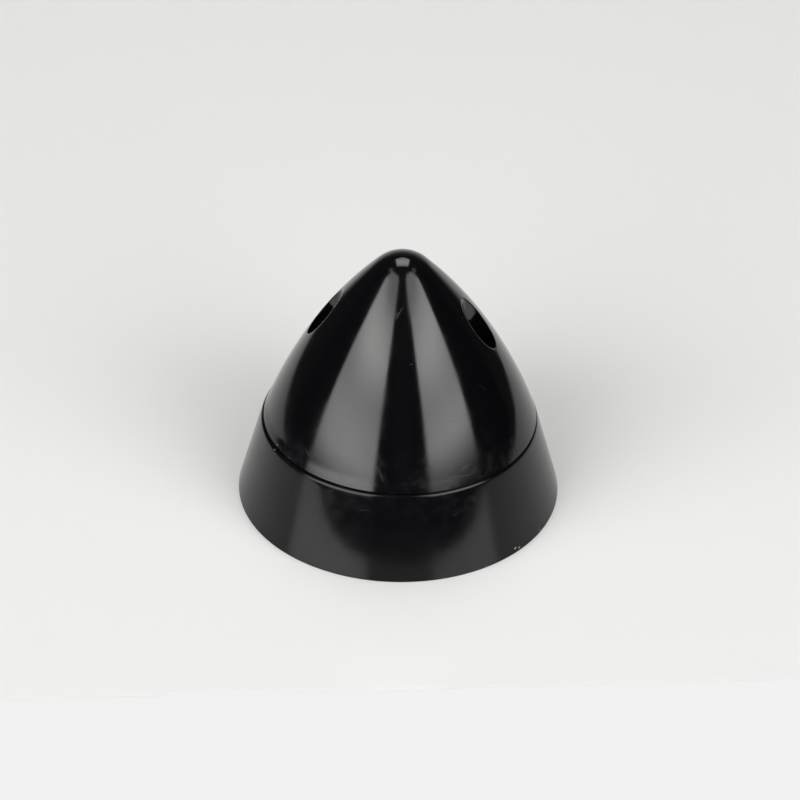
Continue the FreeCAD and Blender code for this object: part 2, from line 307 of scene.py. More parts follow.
def tubeRings(edge, centre, radii, heights):
    # rings round a tube's axis, one point for each point of a patch's edge and in the same direction from
    # the axis. Radii are numbers, or shares between the first ring and the patch's edge
    away = edge[:, :2] - centre
    direction = away / np.linalg.norm(away, axis=1)[:, None]
    rings = []
    for radius, height in zip(radii, heights):
        plan = centre + direction * np.reshape(radius, (-1, 1))
        level = height(np.linalg.norm(plan, axis=1)) if callable(height) else height + 0 * plan[:, 0]
        rings.append(np.column_stack([plan, level]))
    return np.array(rings)


# Nose cone

cone = {
    "baseRadius": 24.0,
    "noseRadius": 6.6,
    "sideRadius": 88.0,
    "wall": 2.0,
    "lowerEdge": 0.15,       # rounding of the lower outer edge
    "rebateRadius": 21.55,
    "rebateHeight": 2.15,
    "wellOffset": 13.3,
    "wellRadius": 3.0,
    "wellMouth": 0.3,        # rounding of the well's mouth
    "wellFloor": 3.1,        # above the seam
    "tubeRadius": 4.5,
    "tubeFoot": 0.1,         # above the seam
    "screwHole": 1.6,
    "rowSpacing": 0.42,
    "noseDensity": 1.5,      # times as many rows over the nose
    "patchReach": 5.6,       # half width of the stretch of wall that is drawn round a well
    "finThickness": 1.2,
    "finOverlap": 0.4,       # into the tube's wall
    "finEnd": 21.4,          # radius, inside the cone's wall
    "finLeast": 0.1,         # least height
    "finSteps": 12,
    "ceilingMargin": 0.7,    # from the rebate in to the outermost point of the wall's inside
    "edgeBend": 0.3,         # share of the lower edge's rounding at which it is drawn bent
    "surroundSteps": 15,     # rings over the wall round a well
    "surroundBend": 1.25,    # crowds those rings towards the well
    "mouthSteps": 7,
    "wellSteps": 12,
    "tubeSteps": 8,
    "ceilingSteps": 7,
    "seamGap": 0.34,         # how far the cone's edge stands off the backplate where it sits worst
    "seamGapSide": 206.0,    # degrees round to that place
    "seamGapHeight": 2.0,    # above the seam, where the wall is true again
    "offCentre": 0.12,       # the cone sits this far towards +X
}


def arcCentre():
    # centre of the side arc: a side's radius from the cone's lower corner, and that less the nose's radius
    # from the nose's centre
    corner = np.array([cone["baseRadius"], seam])
    toNose = np.array([0, tip - cone["noseRadius"]]) - corner
    apart = np.linalg.norm(toNose)
    shorter = cone["sideRadius"] - cone["noseRadius"]
    along = (apart ** 2 + cone["sideRadius"] ** 2 - shorter ** 2) / (2 * apart)
    aside = math.sqrt(cone["sideRadius"] ** 2 - along ** 2)
    way = toNose / apart
    return corner + way * along + np.array([-way[1], way[0]]) * aside


sideCentre = arcCentre()
noseCentre = np.array([0, tip - cone["noseRadius"]])
meeting = math.atan2(noseCentre[1] - sideCentre[1], -sideCentre[0])  # angle at which the arcs meet


def coneHeight(radius, inset=0.0):
    # height of the cone's surface over a radius: the side arc, or the nose's sphere near the axis
    side = cone["sideRadius"] - inset
    nose = cone["noseRadius"] - inset
    onSide = sideCentre[1] + np.sqrt(np.maximum(side ** 2 - (radius - sideCentre[0]) ** 2, 0))
    onNose = noseCentre[1] + np.sqrt(np.maximum(nose ** 2 - radius ** 2, 0))
    return np.where(radius > nose * math.cos(meeting), onSide, onNose)


def coneRadius(height, inset):
    # radius of the cone's side arc at a height
    return sideCentre[0] + math.sqrt((cone["sideRadius"] - inset) ** 2 - (height - sideCentre[1]) ** 2)


def outerSection():
    # the side arc and nose arc by equal steps of length, from the rounded lower edge to near the tip
    start = math.asin((seam + cone["lowerEdge"] - sideCentre[1]) / cone["sideRadius"])
    sideCount = round(cone["sideRadius"] * (meeting - start) / cone["rowSpacing"])
    noseCount = round(cone["noseRadius"] * (math.pi / 2 - meeting) / cone["rowSpacing"] * cone["noseDensity"])
    side = np.linspace(start, meeting, sideCount)
    nose = np.linspace(meeting, math.pi / 2, noseCount)[1:-1]
    onSide = sideCentre + cone["sideRadius"] * np.column_stack([np.cos(side), np.sin(side)])
    onNose = noseCentre + cone["noseRadius"] * np.column_stack([np.cos(nose), np.sin(nose)])
    return np.concatenate([onSide, onNose])


def wellRings(edge, centre):
    # rings from a well's surrounding wall over its rounded mouth, down to its floor, through the screw hole,
    # up the outside of its tube and out over the inside of the cone's wall
    away = np.linalg.norm(edge[:, :2] - centre, axis=1)
    well, mouth = cone["wellRadius"], cone["wellMouth"]
    lip = coneHeightOver(edge, centre, well)
    start = well + mouth
    surround = np.linspace(1, 0, cone["surroundSteps"])[1:] ** cone["surroundBend"]
    outward = [start + (away - start) * share for share in surround]
    rings = [tubeRings(edge, centre, outward, [coneHeight] * len(outward))]
    above = rings[0][-1][:, 2]
    across, heights = [], []
    for t in np.linspace(0, 1, cone["mouthSteps"])[1:]:
        across.append((1 - t) ** 2 * start + 2 * t * (1 - t) * well + t ** 2 * well)
        heights.append((1 - t) ** 2 * above + 2 * t * (1 - t) * lip + t ** 2 * (lip - mouth))
    rings.append(tubeRings(edge, centre, across, heights))
    floor, foot = seam + cone["wellFloor"], seam + cone["tubeFoot"]
    down = [floor + (lip - mouth - floor) * share for share in np.linspace(1, 0, cone["wellSteps"])[1:]]
    rings.append(tubeRings(edge, centre, [well] * len(down), down))
    hole, tube = cone["screwHole"], cone["tubeRadius"]
    rings.append(tubeRings(edge, centre, [hole, hole, tube], [floor, foot, foot]))
    under = coneHeightOver(edge, centre, tube, cone["wall"])
    up = [foot + (under - foot) * share for share in np.linspace(0, 1, cone["tubeSteps"])[1:]]
    rings.append(tubeRings(edge, centre, [tube] * len(up), up))
    spread = [tube + (away - tube) * share for share in np.linspace(0, 1, cone["ceilingSteps"])[1:-1]]
    rings.append(tubeRings(edge, centre, spread, [coneCeiling] * len(spread)))
    return np.concatenate(rings)


def coneHeightOver(edge, centre, radius, inset=0.0):
    # height of the cone's surface over a circle round a well's axis
    away = edge[:, :2] - centre
    plan = centre + away / np.linalg.norm(away, axis=1)[:, None] * radius
    return coneHeight(np.linalg.norm(plan, axis=1), inset)


def settled(points):
    # the lower edge raised off the backplate on one side: by the gap times the square of (1 + cos) / 2
    # of the angle from its worst place, and less with height
    angle = np.arctan2(points[..., 1], points[..., 0]) - math.radians(cone["seamGapSide"])
    reach = np.clip(1 - (points[..., 2] - seam) / cone["seamGapHeight"], 0, 1)
    raised = points.copy()
    raised[..., 2] += cone["seamGap"] * ((1 + np.cos(angle)) / 2) ** 2 * reach
    return raised


def coneCeiling(radius):
    # height of the inside of the cone's wall
    return coneHeight(radius, cone["wall"])


def conePoint(angle, height):
    # a place on the outside, from an angle in degrees and a height
    a, radius = math.radians(angle), coneRadius(height, 0.0)
    return Vector((radius * math.cos(a) + cone["offCentre"], radius * math.sin(a), height))


def addFins(surface):
    # a fin from each tube to the cone's wall: its top follows the middle of the wall
    half = cone["finThickness"] / 2
    foot = seam + cone["rebateHeight"]
    inner = cone["wellOffset"] + cone["tubeRadius"] - cone["finOverlap"]
    across = np.linspace(inner, cone["finEnd"], cone["finSteps"])
    heights = np.maximum(coneHeight(across, cone["wall"] / 2), foot + cone["finLeast"])
    for sign in (1, -1):
        low = [np.column_stack([across * sign, side * sign + 0 * across, foot + 0 * across])
               for side in (-half, half)]
        high = [np.column_stack([across * sign, side * sign + 0 * across, heights])
                for side in (-half, half)]
        rows = addPoints(surface, np.array([low[0], low[1], high[1], high[0]]))
        addQuads(surface, rows.T)
        surface["faces"] += [rows[::-1, 0].tolist(), rows[:, -1].tolist()]


def buildCone():
    surface = newSurface()
    outer = outerSection()
    edge = cone["lowerEdge"]
    ceilingRadii = outer[outer[:, 0] < cone["rebateRadius"] - cone["ceilingMargin"], 0]
    inner = np.column_stack([ceilingRadii, coneHeight(ceilingRadii, cone["wall"])])[::-1]
    top = seam + cone["rebateHeight"]
    innerFoot = coneRadius(top, cone["wall"])
    bend = edge * cone["edgeBend"]
    lower = np.array([[innerFoot, top], [cone["rebateRadius"], top], [cone["rebateRadius"], seam],
                      [cone["baseRadius"] - edge, seam], [outer[0, 0] - bend, seam + bend]])
    inside = np.concatenate([inner, lower])

    outerRows = addPoints(surface, settled(turned(outer, columnAngles)))
    insideRows = addPoints(surface, settled(turned(inside, columnAngles)))
    reach = round(math.asin(cone["patchReach"] / cone["wellOffset"]) / (2 * np.pi) * columns)
    wanted = cone["wellOffset"] + np.array([1, -1]) * cone["patchReach"]
    first, last = [int(np.argmin(abs(outer[:, 0] - radius))) for radius in wanted]
    insideFirst, insideLast = [int(np.argmin(abs(inner[:, 0] - outer[row, 0]))) for row in (first, last)]

    addQuads(surface, outerRows, keep=~inPatch(len(outerRows), first, last, reach))
    addQuads(surface, insideRows, keep=~inPatch(len(insideRows), insideFirst, insideLast, reach))
    addQuads(surface, np.array([insideRows[-1], outerRows[0]]))
    addFan(surface, outerRows[-1], [0, 0, tip], upward=True)
    addFan(surface, insideRows[0], [0, 0, tip - cone["wall"]], upward=False)

    allPoints = np.concatenate(surface["points"])
    for angle in tubeAngles.values():
        middle = round(angle / (2 * np.pi) * columns)
        centre = cone["wellOffset"] * np.array([math.cos(angle), math.sin(angle)])
        above = patchEdge(outerRows, first, last, middle, reach)
        below = patchEdge(insideRows, insideFirst, insideLast, middle, reach)
        rings = addPoints(surface, wellRings(allPoints[above], centre))
        addQuads(surface, np.concatenate([[above], rings, [below]]))
    addFins(surface)
    surface["points"] = [points + [cone["offCentre"], 0, 0] for points in surface["points"]]
    return surface


# A mark is its first angle and height, its last angle and height, and its width
coneLook = {
    "colour": "#08080a",
    "roughness": 0.075,
    "clouding": 0.08,        # added to the roughness in the dullest patches
    "specular": 0.5,
    "wear": [
        {  # smudges
            "tint": "#111113",
            "roughness": 0.2,
            "softness": 1.0,
            "marks": [
                (290.5, 16.8, 297.5, 17.3, 2.2), (296.5, 17.4, 303.5, 17.0, 2.6),
                (302.0, 17.9, 309.0, 18.2, 2.4), (307.0, 17.0, 313.0, 17.6, 1.8),
                (226.0, 19.2, 231.0, 17.6, 2.4), (231.0, 18.0, 236.5, 18.6, 2.8),
                (268.0, 19.0, 271.5, 17.0, 1.8), (248.0, 16.8, 255.0, 16.9, 1.6),
                (276.0, 17.2, 282.0, 16.8, 1.6), (268.6, 41.1, 275.0, 42.2, 1.5),
                (240.0, 17.4, 246.0, 17.0, 1.8),
            ],
        },
        {  # hairline scratches
            "tint": "#1e1e20",
            "roughness": 0.32,
            "softness": 0.5,
            "marks": [
                (268.9, 40.9, 280.2, 43.0, 0.11), (270.2, 40.7, 278.2, 43.1, 0.09),
                (268.2, 41.5, 276.8, 42.3, 0.1), (258.0, 23.1, 265.1, 20.5, 0.09),
                (262.4, 22.7, 263.4, 21.6, 0.09), (267.6, 19.4, 270.2, 17.0, 0.14),
                (236.5, 24.8, 249.0, 25.5, 0.08), (297.5, 26.2, 310.0, 25.7, 0.09),
                (301.7, 18.0, 309.6, 18.7, 0.13), (298.2, 17.4, 309.7, 16.8, 0.12),
                (291.2, 17.3, 301.2, 16.5, 0.11), (281.9, 35.0, 285.4, 35.1, 0.09),
                (245.0, 20.2, 256.3, 19.4, 0.1), (228.7, 19.2, 236.4, 17.7, 0.1),
                (325.0, 30.0, 331.0, 27.5, 0.08),
            ],
        },
        {  # chips
            "tint": "#6d6d6a",
            "roughness": 0.7,
            "softness": 0.35,
            "marks": [(213.6, 15.9, 214.6, 16.0, 0.22), (224.0, 15.8, 224.6, 15.9, 0.12)],
        },
    ],
}

coneNylon = mouldedNylon("polished black nylon", coneLook, conePoint)
coneShell = makePiece("nose_cone_shell", buildCone(), coneNylon)
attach(coneShell, "root")
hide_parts("nose_cone")
print("nose cone made")

# Backplate

backplate = {
    "baseRadius": 28.5,
    "topRadius": 24.2,
    "skirtWall": 2.0,
    "disc": 3.0,
    "rimEdge": 0.15,
    "topEdge": 0.5,
    "insideEdge": 0.3,       # rounding inside the rim and round the mouldings behind
    "ringRadius": 21.4,
    "ringWall": 1.6,
    "ringHeight": 2.0,
    "bore": 4.0,
    "hubRadius": 9.0,
    "hubHeight": 3.0,
    "seatRadius": 8.0,
    "seatHeight": 1.0,
    "bossRadius": 3.5,
    "bossHeight": 5.0,
    "screwHole": 1.33,
    "ribs": 8,
    "ribThickness": 1.5,
    "ribHeight": 2.4,
    "ribBend": 17.0,
    "ribFoot": 3.0,
    "ribClear": 0.4,         # from a screw hole to the rib's end inside the boss
    "embed": 1.0,            # how far the ribs run into the hub and the disc
    "sameAngle": 0.01,       # radians within which a rib counts as running through a boss
    "boreEdge": 0.15,
    "ringEdge": 0.2,
    "seatEdge": 0.1,
    "discSteps": 8,
    "bossSteps": 5,
    "patchReach": 4.1,
    "rowSpacing": 0.6,
}


def skirtInside(height):
    taper = (backplate["baseRadius"] - backplate["topRadius"]) / seam
    return backplate["baseRadius"] - backplate["skirtWall"] - taper * height


def backplateSection():
    # the turned section as (radius, height, rounding), from the hub's back out, up the skirt and back in over
    # the disc, the centring ring and the seat to the bore
    b = backplate
    back = seam - b["disc"]
    hubBack = back - b["hubHeight"]
    inside = b["insideEdge"]
    ringInside = b["ringRadius"] - b["ringWall"]
    ringTop, seatTop = seam + b["ringHeight"], seam + b["seatHeight"]
    corners = [
        (b["bore"], hubBack, b["boreEdge"]), (b["hubRadius"], hubBack, inside),
        (b["hubRadius"], back, inside), (skirtInside(back), back, inside), (skirtInside(0), 0, inside),
        (b["baseRadius"], 0, b["rimEdge"]), (b["topRadius"], seam, b["topEdge"]), (b["ringRadius"], seam, 0),
        (b["ringRadius"], ringTop, b["ringEdge"]), (ringInside, ringTop, b["ringEdge"]),
        (ringInside, seam, b["ringEdge"]), (b["seatRadius"], seam, b["seatEdge"]),
        (b["seatRadius"], seatTop, b["seatEdge"]), (b["bore"], seatTop, b["boreEdge"]),
    ]
    section = bevelled(corners)
    return subdivided(section, b["rowSpacing"])


def discRows(section, height, wanted):
    # the rows of a section that lie on a flat face nearest to the two radii wanted
    onFace = np.flatnonzero(abs(section[:, 1] - height) < 1e-6)
    return [int(onFace[np.argmin(abs(section[onFace, 0] - radius))]) for radius in wanted]


def bossRings(edge, centre):
    # rings from the disc's front in to a screw hole, down it, and up the outside of its boss to the disc
    away = np.linalg.norm(edge[:, :2] - centre, axis=1)
    hole, boss = backplate["screwHole"], backplate["bossRadius"]
    back = seam - backplate["disc"]
    foot = back - backplate["bossHeight"]
    soft = backplate["insideEdge"]
    inward = [hole + (away - hole) * share for share in np.linspace(1, 0, backplate["discSteps"])[1:]]
    spread = np.linspace(0, 1, backplate["bossSteps"])[:-1]
    outward = [boss + soft + (away - boss - soft) * share for share in spread]
    radii = inward + [hole, boss - soft, boss, boss] + outward
    heights = [seam] * len(inward) + [foot, foot, foot + soft, back - soft] + [back] * len(outward)
    return tubeRings(edge, centre, radii, heights)


def addRib(surface, outline, softened, angle):
    # a flat rib in one radial plane: its middle has the outline, of radius and height, and its faces the
    # softened one
    half, soft = backplate["ribThickness"] / 2, backplate["insideEdge"]
    along = np.array([math.cos(angle), math.sin(angle)])
    across = np.array([-along[1], along[0]])
    layers = [(-half, softened), (-half + soft, outline), (half - soft, outline), (half, softened)]
    rows = [np.column_stack([corners[:, :1] * along + across * side, corners[:, 1]])
            for side, corners in layers]
    numbers = addPoints(surface, np.array(rows))
    addQuads(surface, numbers[::-1])
    surface["faces"] += [numbers[0].tolist(), numbers[-1, ::-1].tolist()]


def addRibs(surface):
    # radial ribs behind the disc: shallow beside the hub, then turning down along the skirt. A rib that meets
    # a screw boss ends inside the boss's wall on both sides, clear of its hole
    b = backplate
    back = seam - b["disc"]
    low = back - b["ribHeight"]
    inWall = b["skirtWall"] / 2
    soft = b["insideEdge"]
    inHub = b["hubRadius"] - b["embed"]
    inDisc = back + b["embed"]
    clear = b["screwHole"] + b["ribClear"]
    for angle in np.arange(b["ribs"]) * 2 * np.pi / b["ribs"]:
        onBoss = min(abs(angle - other) for other in tubeAngles.values()) < b["sameAngle"]
        start = cone["wellOffset"] + clear if onBoss else inHub
        outline = np.array([
            [start, inDisc], [start, low], [b["ribBend"], low], [skirtInside(b["ribFoot"]), b["ribFoot"]],
            [skirtInside(b["ribFoot"]) + inWall, b["ribFoot"]], [skirtInside(inDisc) + inWall, inDisc],
        ])
        # the faces' corners stand in from the outline by these shares of the rounding
        softened = outline + soft * np.array([[0, 0], [0, 1], [0.5, 1], [-0.3, 1], [0, 1], [0, 0]])
        addRib(surface, outline, softened, angle)
        if onBoss:
            end = cone["wellOffset"] - clear
            web = np.array([[inHub, inDisc], [inHub, low], [end, low], [end, inDisc]])
            addRib(surface, web, web + soft * np.array([[0, 0], [0, 1], [0, 1], [0, 0]]), angle)


def buildBackplate():
    surface = newSurface()
    section = backplateSection()
    rows = addPoints(surface, turned(section, columnAngles))
    rows = np.concatenate([rows, rows[:1]])
    reach = round(math.asin(backplate["patchReach"] / cone["wellOffset"]) / (2 * np.pi) * columns)
    wanted = cone["wellOffset"] + np.array([1, -1]) * backplate["patchReach"]
    front = discRows(section, seam, wanted)
    behind = discRows(section, seam - backplate["disc"], wanted)
    behind[1] = behind[0] - abs(front[1] - front[0])
    keep = ~inPatch(len(rows), *front, reach) & ~inPatch(len(rows), *behind, reach)
    addQuads(surface, rows, keep=keep)
    allPoints = np.concatenate(surface["points"])
    for angle in tubeAngles.values():
        middle = round(angle / (2 * np.pi) * columns)
        centre = cone["wellOffset"] * np.array([math.cos(angle), math.sin(angle)])
        above = patchEdge(rows, *front, middle, reach)
        below = patchEdge(rows, *behind, middle, reach)
        rings = addPoints(surface, bossRings(allPoints[above], centre))
        addQuads(surface, np.concatenate([[above], rings, [below]]))
    addRibs(surface)
    return surface


def skirtPoint(angle, height):
    # a place on the outside of the skirt, from an angle in degrees and a height
    radius = backplate["baseRadius"] + (backplate["topRadius"] - backplate["baseRadius"]) * height / seam
    return Vector((radius * math.cos(math.radians(angle)), radius * math.sin(math.radians(angle)), height))


backplateLook = {
    "colour": "#08080a",
    "roughness": 0.115,
    "clouding": 0.09,
    "specular": 0.3,         # a duller tool than the cone's leaves less gloss
    "wear": [
        {  # smudges
            "tint": "#0d0d0f",
            "roughness": 0.17,
            "softness": 1.0,
            "marks": [
                (258.3, 12.2, 265.9, 12.9, 2.4), (252.0, 12.8, 259.0, 12.0, 2.2),
                (296.4, 10.8, 302.5, 12.0, 2.6), (244.0, 13.2, 251.0, 12.8, 1.8),
                (281.0, 12.4, 288.0, 12.8, 2.0), (238.0, 9.5, 244.0, 8.8, 2.4),
            ],
        },
        {  # hairline scratches
            "tint": "#151517",
            "roughness": 0.3,
            "softness": 0.5,
            "marks": [
                (260.3, 11.9, 266.4, 12.5, 0.15), (297.4, 10.5, 301.5, 11.4, 0.13),
                (237.1, 10.1, 243.6, 8.9, 0.1), (318.0, 6.0, 324.0, 8.0, 0.09),
            ],
        },
        {  # chips
            "tint": "#8d8d89",
            "roughness": 0.7,
            "softness": 0.5,
            "marks": [
                (322.2, 0.75, 323.6, 0.95, 0.34), (324.3, 0.5, 325.4, 0.6, 0.28),
                (337.3, 0.5, 338.4, 0.4, 0.24), (213.7, 15.0, 214.5, 15.05, 0.16),
                (309.0, 0.3, 309.4, 0.3, 0.13),
            ],
        },
    ],
}

satinNylon = mouldedNylon("satin black nylon", backplateLook, skirtPoint)
backplateBody = makePiece("backplate_body", buildBackplate(), satinNylon)
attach(backplateBody, "root")
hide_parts("backplate")
print("backplate made")

# Screws

screw = {
    "headRadius": 2.8,
    "headHeight": 2.4,
    "threadRadius": 1.45,
    "coreRadius": 1.1,
    "pitch": 1.1,
    "plainLength": 0.6,      # under the head
    "pointLength": 2.2,
    "recessSpan": 1.5,       # half the cross's length
    "recessWidth": 0.4,      # half an arm's width
    "recessDepth": 1.4,
    "threadFoot": 0.05,      # from the point to the first ring
    "crestWidth": 0.28,      # half, as a share of the pitch
    "pointBend": 0.7,        # power by which the point swells to the full thread
    "runOut": 0.5,           # length over which the thread ends under the head
    "neck": 0.15,            # by which the shank widens under the head
    "neckDrop": 0.02,
    "headEdge": 0.1,
    "headSide": 0.9,         # height of the head's straight side
    "domeStart": 0.15,       # share of the dome's bend at its first ring
    "domeBend": 0.72,        # share of a quarter turn that the dome bends through
    "domeSteps": 7,
    "recessFlare": (0.1, 0.08),        # by which the cross is longer and wider at the top
    "recessFoot": (0.55, 0.75),        # its length and width at the bottom, as shares
    "columns": 96,
    "rowsPerTurn": 10,
}


def crossOutline(angles, span, width):
    # distance from the axis to a cross's outline: the arm's end straight ahead, its side further round
    turn = np.abs((angles + np.pi / 4) % (np.pi / 2) - np.pi / 4)
    return np.minimum(span / np.cos(turn), width / np.maximum(np.sin(turn), 1e-6))


def buildScrew(cadScrew):
    # rings of radius over angle, from the point up the thread, out under the head, over its dome and down
    # into the cross recess
    low, high = [np.array(corner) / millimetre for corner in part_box(cadScrew)]
    centre = (low + high) / 2
    seat = high[2] - screw["headHeight"]
    angles = np.arange(screw["columns"]) * 2 * np.pi / screw["columns"]
    threadTop, threadFoot = seat - screw["plainLength"], low[2]
    turns = (threadTop - threadFoot) / screw["pitch"]
    first = threadFoot + screw["threadFoot"]
    heights = np.linspace(first, threadTop, round(turns * screw["rowsPerTurn"]))[:, None]
    phase = (heights / screw["pitch"] - angles / (2 * np.pi)) % 1
    crest = np.clip(1 - np.abs(phase - 0.5) / screw["crestWidth"], 0, 1)
    point = np.clip((heights - threadFoot) / screw["pointLength"], 0, 1) ** screw["pointBend"]
    runOut = np.clip((threadTop - heights) / screw["runOut"], 0, 1)
    core, thread = screw["coreRadius"], screw["threadRadius"]
    shank = core * point + (thread - core) * crest * np.minimum(point, runOut)
    rows = [(radius, height[0]) for radius, height in zip(shank, heights)]

    head, top = screw["headRadius"], high[2]
    edge, side = screw["headEdge"], seat + screw["headSide"]
    rows += [(core + screw["neck"], seat - screw["neckDrop"]), (head - edge, seat), (head, seat + edge)]
    rows.append((head, side))
    quarter = math.pi / 2
    for t in np.linspace(screw["domeStart"], 1, screw["domeSteps"]):  # the dome, bending in to the recess
        radius = head * math.cos(t * quarter * screw["domeBend"])
        rows.append((radius, side + (top - side) * math.sin(t * quarter)))
    span, width = screw["recessSpan"], screw["recessWidth"]
    longer, wider = screw["recessFlare"]
    footSpan, footWidth = screw["recessFoot"]
    rows.append((crossOutline(angles, span + longer, width + wider), top))
    rows.append((crossOutline(angles, span, width), top - edge))
    rows.append((crossOutline(angles, span * footSpan, width * footWidth), top - screw["recessDepth"]))

    surface = newSurface()
    rings = [np.stack([radius * np.cos(angles), radius * np.sin(angles), height + 0 * angles], axis=-1)
             for radius, height in rows]
    numbers = addPoints(surface, np.array(rings) + [centre[0], centre[1], 0])
    addQuads(surface, numbers)
    addFan(surface, numbers[0], [centre[0], centre[1], threadFoot], upward=False)
    addFan(surface, numbers[-1], [centre[0], centre[1], top - screw["recessDepth"]], upward=True)
    return surface


zincSteel = zincPlate()
for side in tubeAngles:
    cadScrew = f"cone_screw_{side}"
    threaded = makePiece(f"threaded_screw_{side}", buildScrew(cadScrew), zincSteel, sharpAngle=35)
    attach(threaded, "root")
    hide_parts(cadScrew)
print("screws made")

# Table, light and camera

camera = {
    "azimuth": 6.5,          # degrees round from -Y towards +X
    "elevation": 34.49,
    "distance": 513.0,       # from the point looked at
    "lookAtHeight": 22.8,
    "lens": 132.38,
    "sensor": 36.0,
    "clip": (0.01, 20.0),    # metres
    "roll": 0.97,            # degrees
    "shift": 0.0275,         # share of the frame's width by which the view is lowered
}

# Directions are degrees of azimuth from the camera's, to its right, and of elevation
studio = {
    "panelDistance": 2400.0,
    "panelStep": 1.5,        # degrees between a panel's points
    "edgeBlur": 3.5,         # degrees over which a panel's glow fades at its edge
    "colour": (1, 1, 0.985, 1),
}

# Each softbox runs from its inner to its outer edge. Its own values are azimuths, elevations, brightnesses,
# and slants in degrees of azimuth for each degree of elevation
sidePanels = {
    "left softbox": {
        "inner": -17.6, "outer": -75.3, "innerLean": 0.06, "outerLean": 0.0, "footLow": -4.0, "footHigh": 9.0,
        "body": 3.7, "hot": 2.6, "strip": 2.2, "stripInner": -17.5, "stripTop": 71.0,
        "wing": 1.0, "wingEnd": -108.0,
    },
    "right softbox": {
        "inner": 22.0, "outer": 73.5, "innerLean": 0.06, "outerLean": -0.2, "footLow": 0.0, "footHigh": 15.0,
        "body": 3.9, "hot": 2.1, "strip": 2.5, "stripInner": 18.0, "stripTop": 74.0,
        "wing": 0.8, "wingEnd": 112.0,
    },
}

# What both softboxes share, in degrees where nothing else is said
softbox = {
    "middle": 40.0,          # elevation at which the edges have their stated azimuths
    "cornerFrom": 3.0,       # above the middle, where the outer corner's cut begins
    "cornerSlant": 1.1,
    "bodyTop": (43.0, 49.0),
    "footBoost": 0.25,       # share by which the foot is brighter
    "footTop": (12.0, 24.0),
    "hotSpot": 35.0,
    "hotReach": 8.0,
    "dimming": 0.24,         # share lost towards the sides
    "dimReach": 30.0,
    "stripSlantFrom": 54.0,
    "stripSlant": 0.9,
    "stripFade": 11.0,
    "wingBlur": 6.0,
    "wingEndBlur": 8.0,
    "wingFoot": (53.0, 58.0),
    "wingTop": (62.0, 69.0),
    "reach": (-6.0, 74.0),   # elevations that the panel's mesh covers
    "margin": 12.0,          # by which it runs past its inner edge
}


def towards(azimuth, elevation):
    # unit vector in a direction: across the view sin a cos e, towards the camera cos a cos e, up sin e
    a, e = np.radians(camera["azimuth"] + azimuth), np.radians(elevation)
    return np.stack([np.sin(a) * np.cos(e), -np.cos(a) * np.cos(e), np.sin(e)], axis=-1)


def fade(value, start, end):
    # 0 before start, 1 after end, and 3 t^2 - 2 t^3 between them
    t = np.clip((value - start) / (end - start), 0, 1)
    return t * t * (3 - 2 * t)


def glowMaterial(name):
    # brightness from the mesh's own attribute
    glow = newMaterial(name)
    share = node(glow.node_tree, "Attribute", {"attribute_name": "glow"})
    light = node(glow.node_tree, "Emission", values={"Color": studio["colour"]},
                 links={"Strength": share.outputs["Fac"]})
    node(glow.node_tree, "OutputMaterial", links={"Surface": light.outputs["Emission"]})
    return glow


def glowPanel(name, places, glow):
    # a curved panel: a grid of places with a brightness at each
    panel = newSurface()
    addQuads(panel, addPoints(panel, places), closed=False)
    mesh = bpy.data.meshes.new(name)
    mesh.from_pydata((places.reshape(-1, 3) * millimetre).tolist(), [], panel["faces"])
    mesh.attributes.new("glow", "FLOAT", "POINT").data.foreach_set("value", glow.ravel().astype(np.float32))
    mesh.materials.append(glowMaterial(name))
    made = bpy.data.objects.new(name, mesh)
    bpy.context.scene.collection.objects.link(made)
    made.visible_camera = False


def sideGlow(look, azimuth, elevation):
    # a softbox: an even body with a hot spot and its upper outer corner cut off, a dimmer strip over it whose
    # inner end slants away, and a faint wing at that strip's outer end
    box, blur = softbox, studio["edgeBlur"]
    sign = np.sign(look["outer"])
    a, inner, outer = sign * azimuth, sign * look["inner"], sign * look["outer"]
    below = box["middle"] - elevation
    cut = box["cornerSlant"] * np.maximum(-below - box["cornerFrom"], 0)
    outerEdge = outer + look["outerLean"] * np.maximum(below, 0) - cut
    innerEdge = inner + look["innerLean"] * below
    across = fade(a, innerEdge - blur / 2, innerEdge + blur / 2)
    across = across * (1 - fade(a, outerEdge - blur / 2, outerEdge + blur / 2))
    body = look["body"] * fade(elevation, look["footLow"], look["footHigh"])
    body = body * (1 - fade(elevation, *box["bodyTop"]))
    body = body * (1 + box["footBoost"] * (1 - fade(elevation, *box["footTop"])))
    hot = look["hot"] * np.exp(-((elevation - box["hotSpot"]) / box["hotReach"]) ** 2)
    dome = 1 - box["dimming"] * ((a - (inner + outer) / 2) / box["dimReach"]) ** 2

    atOuterEnd = fade(a, outer - box["wingBlur"], outer + box["wingBlur"])
    slanted = box["stripSlant"] * np.maximum(elevation - box["stripSlantFrom"], 0)
    stripStart = sign * look["stripInner"] + slanted
    along = fade(a, stripStart - blur, stripStart + blur) * (1 - atOuterEnd)
    strip = look["strip"] * fade(elevation, *box["bodyTop"])
    strip = strip * (1 - fade(elevation, look["stripTop"] - box["stripFade"], look["stripTop"]))

    wingEnd = abs(look["wingEnd"])
    wing = look["wing"] * atOuterEnd * (1 - fade(a, wingEnd - box["wingEndBlur"], wingEnd))
    wing = wing * fade(elevation, *box["wingFoot"]) * (1 - fade(elevation, *box["wingTop"]))
    return across * (body + hot) * dome + along * strip + wing


def makeSidePanels():
    step = studio["panelStep"]
    for name, look in sidePanels.items():
        inward = look["inner"] - np.sign(look["inner"]) * softbox["margin"]
        low, high = sorted([inward, look["wingEnd"]])
        azimuth, elevation = np.meshgrid(np.arange(low, high, step), np.arange(*softbox["reach"], step))
        places = towards(azimuth, elevation) * studio["panelDistance"]
        glowPanel(name, places, sideGlow(look, azimuth, elevation))


